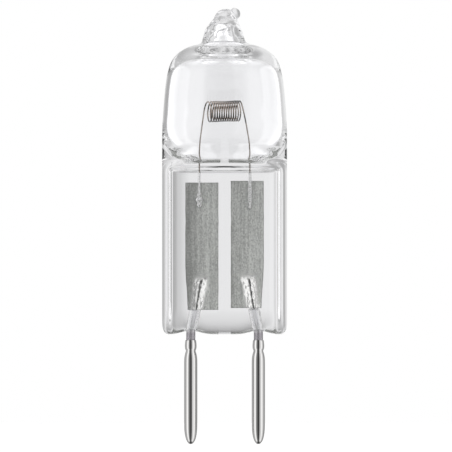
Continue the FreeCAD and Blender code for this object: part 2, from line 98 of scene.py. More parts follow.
# Pinch: the web between the ribs, its rounded foot and the notches over the leads
WEB_REACH = 5.0
WEB_DEPTH = 0.45
WEB_FLAT = 2.9
WEB_SWELL = 0.26
WEB_TOP = 17.9
WEB_CORE = 1.0
RIB_HALF = 1.9
RIB_SLACK = 0.05
FOOT_DEPTHS = (0.0, 0.3, 0.5, 0.66, 0.79, 0.89, 0.97)
FOOT_GAP = 0.001 * MM
NOTCH_REACH = 1.9
NOTCH_LIFT = 0.33
NOTCH_TOP = 4.6

# Folds of the tip: where they start outside and in the bore, their depth, rise, pace and phase
TIP_BASE = 29.9
BORE_BASE = 29.6
TIP_FOLD = 0.05
BORE_FOLD = 0.14
FOLD_RISE = 1.2
FOLD_ACROSS = 2.1
FOLD_ALONG = 2.4
FOLD_PHASE = 3.0
FOLD_SEED = 7

# Bead of the tip: the patch that is drawn out, the length and change of size of each draw,
# where the draw starts, its direction, and the ball that it ends in
BEAD_LOW = 32.25
BEAD_HIGH = 32.8
BEAD_HALF_ANGLE = 0.36
BEAD_STEPS = ((0.05, 1.2), (0.08, 1.2), (0.1, 1.15), (0.12, 1.0), (0.12, 0.85), (0.1, 0.6))
BEAD_START = (0.8, 0.0, 32.34)
BEAD_DRAW = (0.85, 0.0, 0.53)
BEAD_MIDDLE = (0.9, 0.0, 32.54)
BEAD_RADIUS = 0.58
BEAD_REACH = 0.95
BEAD_NECK = (-0.2, 0.15)

# Leads: half the pins' spacing, the bend, the slope up to the foil and the step back behind it
PIN_X = 3.175
BEND_HEIGHT = 2.52
BEND_RADIUS = 3.0
LEAD_SLOPE = math.radians(11.0)
LEAD_TOP = 7.46
LEAD_SET_BACK = 0.28
SET_BACK_TOP = 5.26
LEAD_END_SHARE = 0.85
LEAD_SIDES = 32
LEAD_LEVELS = 1
LEAD_RUN = [BEND_HEIGHT + 0.2 * step for step in range(24)]
LEAD_HEIGHTS = [-2.6, -2.5, 0.0, 1.5, 2.2, *LEAD_RUN, 7.3, 7.42, LEAD_TOP]

# Voids that the quartz leaves round the leads below the foils
VOID_RADIUS = 0.57
VOID_END_RADIUS = 0.47
VOID_LUMP = 0.02
LUMP_PACE = 2.1
VOID_SIDES = 24
VOID_LEVELS = 1
VOID_HEIGHTS = [2.95, 3.0] + [3.15 + 0.2 * step for step in range(9)] + [4.86, 4.9]

# Filament legs: place in the pinch, and the lumpy voids round them as height and radius
LEG_X = 2.37
LEG_Y = -0.2
LEG_ENTRY = 18.9
LEG_END = 14.37
LEG_SLACK = 0.05
LEG_VOID_SIDES = 16
LEG_VOIDS = {
    "left": [
        (14.3, 0.16), (14.45, 0.2), (14.62, 0.3), (14.78, 0.25), (14.94, 0.36),
        (15.12, 0.43), (15.3, 0.34), (15.44, 0.24), (15.58, 0.33), (15.74, 0.2),
        (16.0, 0.17), (16.25, 0.2), (16.5, 0.16), (16.9, 0.16), (17.6, 0.15), (18.2, 0.14),
    ],
    "right": [
        (14.2, 0.16), (14.42, 0.22), (14.6, 0.16), (14.85, 0.2), (15.05, 0.28), (15.2, 0.2),
        (15.42, 0.3), (15.6, 0.2), (15.8, 0.32), (15.95, 0.22), (16.15, 0.3), (16.35, 0.2),
        (16.6, 0.24), (16.9, 0.17), (17.6, 0.15), (18.2, 0.14),
    ],
}

# Filament coil: middle, size, looser first turn, slight waver, and turn towards the camera
COIL_MIDDLE = (-0.14, 0.0, 23.38)
COIL_LENGTH = 3.23
COIL_RADIUS = 1.0
COIL_OPENING = 0.2
OPENING_TURNS = 0.6
COIL_WAVER = 0.015
WAVER_PACE = 9
COIL_YAW = math.radians(15.8)
COIL_RISE = 0.03
# Steps of the wire in a turn, a leg and a weld, and how strongly the leg is led at either end
TURN_STEPS = 40
LEG_STEPS = 48
WELD_STEPS = 90
COIL_PULL = 0.12
ENTRY_PULL = 0.3
WIRE_FACETS = 3

# Contact sleeve: height and radius from the nose up, then down inside the mouth
SLEEVE_SIDES = 48
SLEEVE_LEVELS = 2
SLEEVE_RINGS = [
    (-7.86, 0.07), (-7.83, 0.15), (-7.74, 0.25), (-7.58, 0.37), (-7.36, 0.465),
    (-7.08, 0.535), (-6.8, 0.58), (-6.5, 0.608), (-6.1, 0.623), (-4.5, 0.625),
    (-2.5, 0.625), (-0.8, 0.625), (-0.1, 0.625), (0.25, 0.61), (0.55, 0.56), (0.76, 0.5),
    (0.87, 0.455), (0.95, 0.455), (1.03, 0.5), (1.14, 0.54), (1.32, 0.555), (1.55, 0.545),
    (1.75, 0.525), (1.89, 0.505), (1.925, 0.49), (1.925, 0.46), (1.88, 0.445), (1.7, 0.442),
    (1.3, 0.442),
]

# Foil: middle, size, and the tent that it makes over the lead
FOIL_X = 2.15
FOIL_LOW = 4.86
FOIL_HIGH = 16.76
FOIL_WIDTH = 3.13
FOIL_GRID = (100, 180)
FOIL_SHIFTS = {"left": -0.06, "right": 0.1}
FOIL_CREASE = math.radians(50)
DRAW_IN = 0.22
DRAW_IN_TOP = 9.0
TENT_SLOPE = math.tan(math.radians(18.5))
TENT_REACH = 0.74
TENT_TOP = (LEAD_TOP - 0.1, LEAD_TOP + 1.1)
TENT_EDGE = (0.5, 1.1)
CREST_ROUND = 0.12
# Unevenness of the foil: height, pace across and along, and phase of each noise
TENT_RAGGED = (0.25, 1.0, 2.2, 5.0)
FOIL_WAVE = (0.015, 0.9, 0.25, 4.0)
FOIL_CRUMPLE = (0.012, 5.0, 3.5, 9.0)
# Waver of the foil's edges: height, pace along and phases
EDGE_WAVE = (0.02, 0.8)
EDGE_PHASES = (3.0, 7.0)
# Painted shade on the foil, darker at the etched rim and greyer on the left side:
# their reach, and the share of the colour that they leave
PAINTED_RIM_REACH = 0.1
PAINTED_RIM_SHADE = 0.55
PAINTED_GREY_FROM = -0.6 * FOIL_WIDTH
PAINTED_GREY_TO = 0.15 * FOIL_WIDTH
FOIL_PAINTED_SHADES = {"left": 0.55, "right": 0.85}

# Grain of each surface: stretch, scale and detail of its noise, and the relief's strength and depth
NOISE_SPAN = (0.3, 0.7)
QUARTZ_STREAKS = ((1, 1, 0.12), 900, 2)
QUARTZ_RELIEF = (0.04, 0.02 * MM)
NICKEL_LINES = ((1, 1, 0.03), 3000, 4)
LEAD_LINES = ((1, 1, 0.05), 4000, 4)
WIRE_GRAIN = ((1, 1, 1), 6000, 4)
METAL_RELIEF = (0.12, 0.01 * MM)
FOIL_GRAIN = ((1, 1, 0.05), 3500, 4)
FOIL_SPECKLE = ((1, 1, 0.5), 16000, 1)
GRAIN_TONES = (0.15, 0.7)
SPECKLE_TONES = (0.2, 1.0)
FOIL_RELIEF = (0.15, 0.01 * MM)

# Darker tone of each grain, as a share of the surface's colour
STREAK_SHARE = 0.985
NICKEL_SHARE = 0.9
SEALED_SHARE = 0.85
LEAD_SHARE = 0.7
WELD_SHARE = 0.62
FOIL_SHARE = 0.52

# Roughness of the metals: where there are two, tarnished and sealed lead, etched and draped foil
NICKEL_ROUGHNESS = (0.04, 0.0625)
WIRE_ROUGHNESS = 0.22
LEAD_ROUGHNESS = (0.62, 0.35)
TARNISH_FADE = 0.6
FOIL_ROUGHNESS = (0.6, 0.1)
FOIL_METAL = (0.05, 1.0)

# Tone of the wire: top of the welds, room round the coil, lean of its painted light, reach of
# its tones, and shares of its colour on the legs and in the coil's painted light, middle and
# painted shade
WELD_TOP = 17.7
COIL_ROOM = 0.15
PAINTED_LIGHT_LEAN = 0.35
PAINTED_TONE_REACH = 0.35
LEG_SHARE = 0.8
PAINTED_COIL_TONES = ((0.0, 1.7), (0.5, 1.0), (1.0, 0.06))

# A ray past more faces of glass than this has gone through the hollow bulb
LAYERED = 2.5
# A ray with fewer reflections than this comes straight through
UNMIRRORED = 0.5

# Brightness of the studio by bearing: degrees from the camera, left negative, and radiance
RIM_PEAK = 2.5
STUDIO_RIM = [
    (-180, 0.86), (-177, 0.84), (-173, 0.71), (-168, 0.52), (-160, 0.41), (-148, 0.41),
    (-138, 0.55), (-128, 0.76), (-92, 0.78), (-83, 0.8), (-77, 1.85), (-71, 2.0),
    (-52, 1.95), (-44, 1.3), (-37, 0.45), (-20, 0.28), (-6, 0.14), (8, 0.05), (30, 0.06),
    (44, 0.15), (49, 1.7), (55, 2.0), (71, 2.0), (76, 1.2), (82, 0.5), (115, 0.45),
    (130, 0.55), (148, 0.63), (158, 0.74), (166, 0.86), (180, 0.86),
]
# Changes of that light: where each begins and ends, and its level there if not 0 and 1.
# By bearing, in degrees:
BACKDROP = (135, 155)
FILL_RISE = (13, 26, 0.0, 1.15)
FILL_FALL = (90, 120, 1.0, 0.0)
CAMERA_SIDE = (60, 85, 0.86, 0.0)
STRAIGHT_BEHIND = (164, 173)
HALO = (164, 174, 1.6, 1.0)
HALO_EDGE = (150, 162, 0.78, 1.6)
HALO_MIDDLE = (176.4, 177.3)
# By steepness, up or down:
STEEP = (0.45, 0.85)
STEEP_MIRRORED = (0.75, 0.97)
STEEP_THROUGH = (0.35, 0.75)
STEEP_HALO = (0.3, 0.6)
# By height, below and above level:
UNDERSIDE = (-0.2, -0.07, 0.6, 0.0)
UPPER_BACK = (0.05, 0.75)
# Levels that those changes lead to, and the most and the least that is seen
STEEP_LEVEL = 0.4
STEEP_MIRRORED_LEVEL = 0.1
STEEP_THROUGH_LEVEL = 0.75
STEEP_HALO_LEVEL = 0.82
HALO_MIDDLE_LEVEL = 0.86
UPPER_BACK_LEVEL = 0.3
MIRRORED_MOST = 1.8
THROUGH_MOST = 1.05
LAYERED_LEAST = 0.72

# Floor, in metres: its size, and how bright it is seen through the glass and by the camera.
# What the bulb shows of it fans out from a point in front.
FLOOR_RADIUS = 0.15
FLOOR_SIDES = 96
FLOOR_COLOUR = (0.8, 0.8, 0.8)
FLOOR_ROUGHNESS = 0.9
FAN_START = 0.065
FAN_SIDES = (0.052, 0.075, 0.38, 0.62)
FLOOR_NEAR = (0.035, 0.06, 1.0, 0.0)
FLOOR_NEAR_LEVEL = 0.6
FLOOR_FRONT = (-0.012, -0.004, 0.55, 0.0)
FLOOR_SHOWN = 0.58
WHITE = (1, 1, 1)

# Faces that a ray may pass or be mirrored by, and how far the camera sees, in metres
RAY_BOUNCES = 32
MIRROR_BOUNCES = 16
CAMERA_REACH = 10


def deselect():
    """Leaves edit mode and deselects every object."""
    if bpy.context.object and bpy.context.object.mode != "OBJECT":
        bpy.ops.object.mode_set(mode="OBJECT")
    bpy.ops.object.select_all(action="DESELECT")


def choose(piece):
    """Selects one piece alone."""
    deselect()
    bpy.context.view_layer.objects.active = piece
    piece.select_set(True)


def edit(piece):
    """Opens one piece in edit mode."""
    choose(piece)
    bpy.ops.object.mode_set(mode="EDIT")
    bpy.ops.mesh.select_mode(type="VERT")


def pick(piece, wanted):
    """Selects the vertices whose place, in millimetres, is wanted."""
    mesh = bmesh.from_edit_mesh(piece.data)
    for vertex in mesh.verts:
        vertex.select = bool(wanted(vertex.co / MM))
    mesh.select_flush_mode()
    bmesh.update_edit_mesh(piece.data)


def pick_ring(piece, height):
    """Selects the ring at that height."""
    pick(piece, lambda place: abs(place.z - height) < CLOSE)


def raise_rings(name, rings, sides):
    """A shell drawn up ring by ring from a circle.

    A ring is its height, radius and, if there are any, its shifts sideways and in depth.
    """
    deselect()
    rings = [(*ring, 0, 0)[:4] for ring in rings]
    height, radius, across, depth = rings[0]
    place = (across * MM, depth * MM, height * MM)
    bpy.ops.mesh.primitive_circle_add(vertices=sides, radius=radius * MM, location=place)
    piece = bpy.context.object
    piece.name = piece.data.name = name
    bpy.ops.object.transform_apply(location=True, rotation=True, scale=True)
    edit(piece)
    bpy.ops.mesh.select_all(action="SELECT")
    for (low, before, from_x, from_y), (high, after, to_x, to_y) in zip(rings, rings[1:]):
        step = ((to_x - from_x) * MM, (to_y - from_y) * MM, (high - low) * MM)
        bpy.ops.mesh.extrude_region_move(TRANSFORM_OT_translate={"value": step})
        middle = (to_x * MM, to_y * MM, high * MM)
        growth = after / before
        bpy.ops.transform.resize(value=(growth, growth, 1), center_override=middle)
    return piece


def close_end(piece, height):
    """Draws the ring at that height together to a point."""
    pick_ring(piece, height)
    bpy.ops.mesh.merge(type="CENTER")


def cap_rings(piece, *heights):
    """Closes the rings at those heights with a face each."""
    for height in heights:
        pick_ring(piece, height)
        bpy.ops.mesh.edge_face_add()


def press_ring(piece, height, half_depth):
    """Flattens what stands out in front of and behind the jaws in one ring."""
    for side in (-1, 1):
        pick(piece, lambda place: abs(place.z - height) < CLOSE and place.y * side > half_depth)
        middle = (0, side * half_depth * MM, 0)
        bpy.ops.transform.resize(value=(1, 0, 1), center_override=middle)


def flatten_ring(piece, height, share):
    """Draws one ring in to an oval of that share of its depth."""
    pick_ring(piece, height)
    bpy.ops.transform.resize(value=(1, share, 1), center_override=(0, 0, height * MM))


def face_all(inside):
    """Turns every face of the piece in edit mode inwards or outwards."""
    bpy.ops.mesh.select_all(action="SELECT")
    bpy.ops.mesh.normals_make_consistent(inside=inside)


def smooth_out(piece, levels):
    """Subdivides the piece into a smooth surface."""
    choose(piece)
    if levels:
        modifier = piece.modifiers.new("Smooth", "SUBSURF")
        modifier.levels = modifier.render_levels = levels
        bpy.ops.object.modifier_apply(modifier=modifier.name)
    bpy.ops.object.shade_smooth()


def push(piece, move):
    """Moves each vertex by what the function gives for its place, in millimetres."""
    for vertex in piece.data.vertices:
        vertex.co += Vector(move(vertex.co / MM)) * MM


def join(piece, others):
    """Makes the other pieces part of the first."""
    choose(piece)
    for part in others:
        part.select_set(True)
    bpy.ops.object.join()


def seat(piece, node, material):
    """Hands the finished piece to its CAD node's place."""
    deselect()
    piece.data.materials.clear()
    piece.data.materials.append(material)
    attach(piece, "root")
    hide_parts(node)


def smooth_step(low, high, value):
    """Rises from 0 at the low end to 1 at the high end, level at both."""
    share = min(1.0, max(0.0, (value - low) / (high - low)))
    return share * share * (3 - 2 * share)


def lead_x(height):
    """Distance of the lead's middle from the bulb's axis at a height."""
    if height <= BEND_HEIGHT:
        return PIN_X
    bend_end = BEND_HEIGHT + BEND_RADIUS * math.sin(LEAD_SLOPE)
    along = min(height, bend_end) - BEND_HEIGHT
    x = PIN_X - BEND_RADIUS + math.sqrt(BEND_RADIUS**2 - along**2)
    return x - max(0.0, height - bend_end) * math.tan(LEAD_SLOPE)


def lead_y(height):
    """How far the lead leans back to lie behind the foil."""
    return LEAD_SET_BACK * smooth_step(BEND_HEIGHT, SET_BACK_TOP, height)


def fold(place, start, depth):
    """Uneven folds that the flame left in the tip."""
    share = smooth_step(start, start + FOLD_RISE, place.z)
    across = (place.x * FOLD_ACROSS, place.y * FOLD_ACROSS)
    lump = noise.noise_vector(Vector((*across, place.z * FOLD_ALONG + FOLD_PHASE)))
    return lump * (depth * share)


def uneven(place, waves, side):
    """A height that varies over a sheet, with a pattern of its own on each side."""
    height, across, along, phase = waves
    return height * noise.noise(Vector((place.x * across, side * phase, place.z * along)))


def darkened(colour, share):
    """That share of a colour."""
    return [tone * share for tone in colour]


class Shading:
    """Short ways to add to a node tree what the looks are built from."""

    def __init__(self, tree):
        self.tree = tree

    def given(self, kind):
        """The node of that kind that the tree starts with."""
        return next(node for node in self.tree.nodes if node.type == kind)

    def node(self, kind, **settings):
        """A new shader node with its settings."""
        node = self.tree.nodes.new(f"ShaderNode{kind}")
        for name, value in settings.items():
            setattr(node, name, value)
        return node

    def feed(self, socket, value):
        """Gives a socket a number, a colour or what another socket holds."""
        if isinstance(value, bpy.types.NodeSocket):
            self.tree.links.new(value, socket)
        elif isinstance(value, (int, float)):
            socket.default_value = value
        else:
            socket.default_value = (*value, 1)

    def dress(self, node, values):
        """Gives a node's inputs their values."""
        for name, value in values.items():
            self.feed(node.inputs[name], value)

    def place(self, kind="Object"):
        """The coordinates of a place on the piece, or of a direction in the world."""
        return self.node("TexCoord").outputs[kind]

    def split(self, vector):
        """The three parts of a vector."""
        parts = self.node("SeparateXYZ")
        self.feed(parts.inputs["Vector"], vector)
        return parts.outputs

    def attribute(self, name):
        """A value that the mesh carries."""
        return self.node("Attribute", attribute_name=name).outputs["Fac"]

    def reckon(self, kind, first, second=0.0):
        """A sum on two numbers or sockets."""
        node = self.node("Math", operation=kind)
        self.feed(node.inputs[0], first)
        self.feed(node.inputs[1], second)
        return node.outputs["Value"]

    def spread(self, value, low, high, to_low=0.0, to_high=1.0, kind="LINEAR"):
        """Spreads one range of a value evenly over another."""
        node = self.node("MapRange", interpolation_type=kind)
        ends = {"From Min": low, "From Max": high, "To Min": to_low, "To Max": to_high}
        self.dress(node, {"Value": value, **ends})
        return node.outputs["Result"]

    def ease(self, value, low, high, to_low=0.0, to_high=1.0):
        """Spreads one range of a value over another, level at both ends."""
        return self.spread(value, low, high, to_low, to_high, "SMOOTHSTEP")

    def blend(self, share, first, second):
        """Mixes two numbers."""
        node = self.node("Mix")
        for number, value in ((0, share), (2, first), (3, second)):
            self.feed(node.inputs[number], value)
        return node.outputs[0]

    def blend_colours(self, share, first, second, kind="MIX"):
        """Mixes two colours."""
        node = self.node("Mix", data_type="RGBA", blend_type=kind)
        for number, value in ((0, share), (6, first), (7, second)):
            self.feed(node.inputs[number], value)
        return node.outputs[2]

    def grain(self, stretch, scale, detail):
        """Noise on the piece's own coordinates, drawn out along some of the axes."""
        mapping = self.node("Mapping")
        mapping.inputs["Scale"].default_value = stretch
        self.feed(mapping.inputs["Vector"], self.place())
        texture = self.node("TexNoise")
        place = mapping.outputs["Vector"]
        self.dress(texture, {"Vector": place, "Scale": scale, "Detail": detail})
        return texture.outputs["Fac"]

    def tones(self, value, stops):
        """Colours by value: each stop is a position and its colour."""
        ramp = self.node("ValToRGB")
        elements = ramp.color_ramp.elements
        while len(elements) < len(stops):
            elements.new(0.5)
        for element, (position, colour) in zip(elements, stops):
            element.position = position
            element.color = (*colour, 1)
        self.feed(ramp.inputs["Fac"], value)
        return ramp.outputs["Color"]

    def two_tones(self, value, colour, share):
        """A colour and its darker tone, by a noise."""
        return self.tones(value, list(zip(NOISE_SPAN, (darkened(colour, share), colour))))

    def bump(self, value, strength, depth):
        """A fine relief."""
        relief = self.node("Bump")
        self.dress(relief, {"Height": value, "Strength": strength, "Distance": depth})
        return relief.outputs["Normal"]


def new_material(name):
    """A material, what builds its look, and its shader."""
    material = bpy.data.materials.new(name)
    material.use_nodes = True
    shading = Shading(material.node_tree)
    return material, shading, shading.given("BSDF_PRINCIPLED")


class QuartzLook(bpy.types.PropertyGroup):
    """Quartz of the envelope"""

    sides: IntProperty(
        name="Sides", description="Corners of each ring before smoothing", default=64, min=32
    )
    levels: IntProperty(
        name="Smoothing", description="Subdivision levels of the surface", default=2, min=0
    )
    refraction: FloatProperty(
        name="Refraction", description="Index of refraction of fused quartz", default=1.458
    )
    tint: FloatVectorProperty(
        name="Tint", description="Colour of the clear quartz",
        subtype="COLOR", default=(0.99, 0.991, 1.0),
    )


class MetalLook(bpy.types.PropertyGroup):
    """Metals in the quartz and on the pins"""

    coil_turns: FloatProperty(
        name="Coil Turns", description="Turns of the filament's coil", default=13.36, min=2
    )
    wire_radius: FloatProperty(
        name="Wire Radius", description="Half the thickness of the filament's wire",
        default=0.062 * MM, unit="LENGTH",
    )
    lead_radius: FloatProperty(
        name="Lead Radius", description="Half the thickness of a lead",
        default=0.43 * MM, unit="LENGTH",
    )
    foil_thickness: FloatProperty(
        name="Foil Thickness", description="Thickness of a foil", default=0.03 * MM, unit="LENGTH"
    )
    foil: FloatVectorProperty(
        name="Foil", description="Colour of the rolled molybdenum foil",
        subtype="COLOR", default=(0.95, 0.97, 0.93),
    )
    drape: FloatVectorProperty(
        name="Draped Foil", description="Colour of the foil where a lead stretches it",
        subtype="COLOR", default=(0.97, 0.97, 0.95),
    )
    lead: FloatVectorProperty(
        name="Lead", description="Colour of the tarnished lead wire",
        subtype="COLOR", default=(0.50, 0.48, 0.51),
    )
    sealed: FloatVectorProperty(
        name="Sealed Lead", description="Colour of the lead in the quartz",
        subtype="COLOR", default=(0.95, 0.95, 0.96),
    )
    wire: FloatVectorProperty(
        name="Filament", description="Colour of the tungsten wire",
        subtype="COLOR", default=(0.34, 0.29, 0.255),
    )
    weld: FloatVectorProperty(
        name="Weld", description="Colour of the filament's welded ends",
        subtype="COLOR", default=(0.98, 0.98, 0.97),
    )
    contact: FloatVectorProperty(
        name="Contact", description="Colour of the bright nickel",
        subtype="COLOR", default=(0.53, 0.525, 0.52),
    )


class StudioLook(bpy.types.PropertyGroup):
    """Stage round the bulb"""

    distance: FloatProperty(
        name="Distance", description="Camera to bulb", default=0.6, unit="LENGTH"
    )
    floor_height: FloatProperty(
        name="Floor", description="Height of the floor", default=-0.0105, unit="LENGTH"
    )


class BULB_OT_sleeves(bpy.types.Operator):
    """Draws the contact sleeves with their noses and crimped collars"""

    bl_idname = "capsule_bulb.sleeves"
    bl_label = "Contact Sleeves"

    def execute(self, context):
        metal = self.bright_nickel(context.scene.capsule_metal)
        for end, side in SIDES:
            rings = [(height, radius, side * PIN_X) for height, radius in SLEEVE_RINGS]
            sleeve = raise_rings(f"contact_sleeve_{end}", rings, SLEEVE_SIDES)
            close_end(sleeve, SLEEVE_RINGS[0][0])
            cap_rings(sleeve, SLEEVE_RINGS[-1][0])
            face_all(inside=False)
            smooth_out(sleeve, SLEEVE_LEVELS)
            seat(sleeve, f"pin_sleeve_{end}", metal)
        return {"FINISHED"}

    def bright_nickel(self, look):
        """Polished nickel with fine lengthwise draw lines."""
        material, shading, shader = new_material("bright_nickel")
        lines = shading.grain(*NICKEL_LINES)
        values = {
            "Metallic": 1.0,
            "Base Color": shading.two_tones(lines, look.contact, NICKEL_SHARE),
            "Roughness": shading.spread(lines, *NOISE_SPAN, *NICKEL_ROUGHNESS),
            "Normal": shading.bump(lines, *METAL_RELIEF),
        }
        shading.dress(shader, values)
        return material


class BULB_OT_leads(bpy.types.Operator):
    """Draws the outer leads from the pins into the pinch"""

    bl_idname = "capsule_bulb.leads"
    bl_label = "Outer Leads"

    def execute(self, context):
        look = context.scene.capsule_metal
        metal = self.drawn_molybdenum(look)
        radius = look.lead_radius / MM
        ends = (LEAD_HEIGHTS[0], LEAD_HEIGHTS[-1])
        for end, side in SIDES:
            rings = []
            for height in LEAD_HEIGHTS:
                share = LEAD_END_SHARE if height in ends else 1
                rings.append((height, radius * share, side * lead_x(height), lead_y(height)))
            lead = raise_rings(f"outer_lead_wire_{end}", rings, LEAD_SIDES)
            cap_rings(lead, *ends)
            face_all(inside=False)
            smooth_out(lead, LEAD_LEVELS)
            seat(lead, f"outer_lead_{end}", metal)
        return {"FINISHED"}

    def drawn_molybdenum(self, look):
        """Bright inside the seal, tarnished where the air reached the hot wire."""
        material, shading, shader = new_material("drawn_molybdenum")
        lines = shading.grain(*LEAD_LINES)
        height = shading.split(shading.place())["Z"]
        seal = (BEND_HEIGHT * MM, (BEND_HEIGHT + TARNISH_FADE) * MM)
        sealed = shading.spread(height, *seal)
        outside = shading.two_tones(lines, look.lead, LEAD_SHARE)
        inside = shading.two_tones(lines, look.sealed, SEALED_SHARE)
        values = {
            "Metallic": 1.0,
            "Base Color": shading.blend_colours(sealed, outside, inside),
            "Roughness": shading.spread(sealed, 0, 1, *LEAD_ROUGHNESS),
            "Normal": shading.bump(lines, *METAL_RELIEF),
        }
        shading.dress(shader, values)
        return material


class BULB_OT_foils(bpy.types.Operator):
    """Rolls the sealing foils and drapes them over the leads"""

    bl_idname = "capsule_bulb.foils"
    bl_label = "Sealing Foils"

    def execute(self, context):
        look = context.scene.capsule_metal
        metal = self.rolled_foil(look)
        for end, side in SIDES:
            seat(self.foil(look, end, side), f"foil_{end}", metal)
        return {"FINISHED"}

    def rolled_foil(self, look):
        """Etched foil with lengthwise grain and painted shade, pulled smooth where it is draped
        over the lead.
        """
        material, shading, shader = new_material("rolled_foil")
        drape = shading.attribute("drape")
        grain = shading.spread(shading.grain(*FOIL_GRAIN), *NOISE_SPAN, *GRAIN_TONES)
        speckle = shading.spread(shading.grain(*FOIL_SPECKLE), *NOISE_SPAN, *SPECKLE_TONES)
        rolled = shading.reckon("DIVIDE", shading.reckon("ADD", grain, speckle), 2)
        etched = shading.two_tones(rolled, look.foil, FOIL_SHARE)
        tone = shading.blend_colours(drape, etched, look.drape)
        values = {
            "Metallic": shading.spread(drape, 0, 1, *FOIL_METAL),
            # Painted shade that the mesh carries darkens the foil's rims and its left side
            "Base Color": shading.blend_colours(1.0, tone, shading.attribute("painted_shade"), "MULTIPLY"),
            "Roughness": shading.spread(drape, 0, 1, *FOIL_ROUGHNESS),
            "Normal": shading.bump(rolled, *FOIL_RELIEF),
        }
        shading.dress(shader, values)
        return material

    def foil(self, look, end, side):
        """One foil, from a flat sheet to its tent over the lead."""
        deselect()
        across, along = FOIL_GRID
        bpy.ops.mesh.primitive_grid_add(
            x_subdivisions=across,
            y_subdivisions=along,
            size=1,
            location=(side * FOIL_X * MM, 0, (FOIL_LOW + FOIL_HIGH) / 2 * MM),
            rotation=(math.pi / 2, 0, 0),
        )
        sheet = bpy.context.object
        sheet.name = sheet.data.name = f"sealing_foil_{end}"
        sheet.scale = (FOIL_WIDTH * MM, (FOIL_HIGH - FOIL_LOW) * MM, 1)
        bpy.ops.object.transform_apply(location=True, rotation=True, scale=True)

        def tent(place):
            """Rise over the lead and share of the tent at a place."""
            away = abs(place.x * side - lead_x(place.z))
            fade = 1 - smooth_step(*TENT_TOP, place.z)
            far = math.hypot(away, CREST_ROUND) - CREST_ROUND
            reach = TENT_REACH * (1 + uneven(place, TENT_RAGGED, side))
            share = fade * (1 - smooth_step(*(edge * reach for edge in TENT_EDGE), far))
            return TENT_SLOPE * max(0.0, TENT_REACH - far) * fade, share

        def drape(place):
            """Lays the foil over the lead, draws in its outer edge and leaves it uneven."""
            rise, share = tent(place)
            wave = uneven(place, FOIL_WAVE, side)
            crumple = uneven(place, FOIL_CRUMPLE, side) * share
            outer = max(0.0, (place.x * side - FOIL_X) / (FOIL_WIDTH / 2))
            inwards = -side * DRAW_IN * outer * (1 - smooth_step(FOIL_LOW, DRAW_IN_TOP, place.z))
            height, pace = EDGE_WAVE
            first, second = EDGE_PHASES
            edge = height * noise.noise(Vector((side * first, second, place.z * pace)))
            return (inwards + edge, -rise + wave + crumple, FOIL_SHIFTS[end])

        def painted_shade(place):
            """Painted shade: the etched edges darker, and the foil greyer towards the bulb's left.
            """
            x = place.x - side * FOIL_X
            rim = min(FOIL_WIDTH / 2 - abs(x), place.z - FOIL_LOW, FOIL_HIGH - place.z)
            # Painted shade along the rim, then painted grey towards the bulb's left
            etched = PAINTED_RIM_SHADE + (1 - PAINTED_RIM_SHADE) * smooth_step(0.0, PAINTED_RIM_REACH, rim)
            painted_grey = FOIL_PAINTED_SHADES[end]
            return etched * (painted_grey + (1 - painted_grey) * smooth_step(PAINTED_GREY_FROM, PAINTED_GREY_TO, x))

        places = [vertex.co / MM for vertex in sheet.data.vertices]
        looks = {
            "drape": [tent(place)[1] for place in places],
            "painted_shade": [painted_shade(place) for place in places],
        }
        push(sheet, drape)
        for name, values in looks.items():
            layer = sheet.data.attributes.new(name, "FLOAT", "POINT")
            layer.data.foreach_set("value", values)
        thick = sheet.modifiers.new("Thickness", "SOLIDIFY")
        thick.thickness = look.foil_thickness
        thick.offset = 1.0
        bpy.ops.object.modifier_apply(modifier=thick.name)
        bpy.ops.object.shade_smooth_by_angle(angle=FOIL_CREASE)
        return sheet


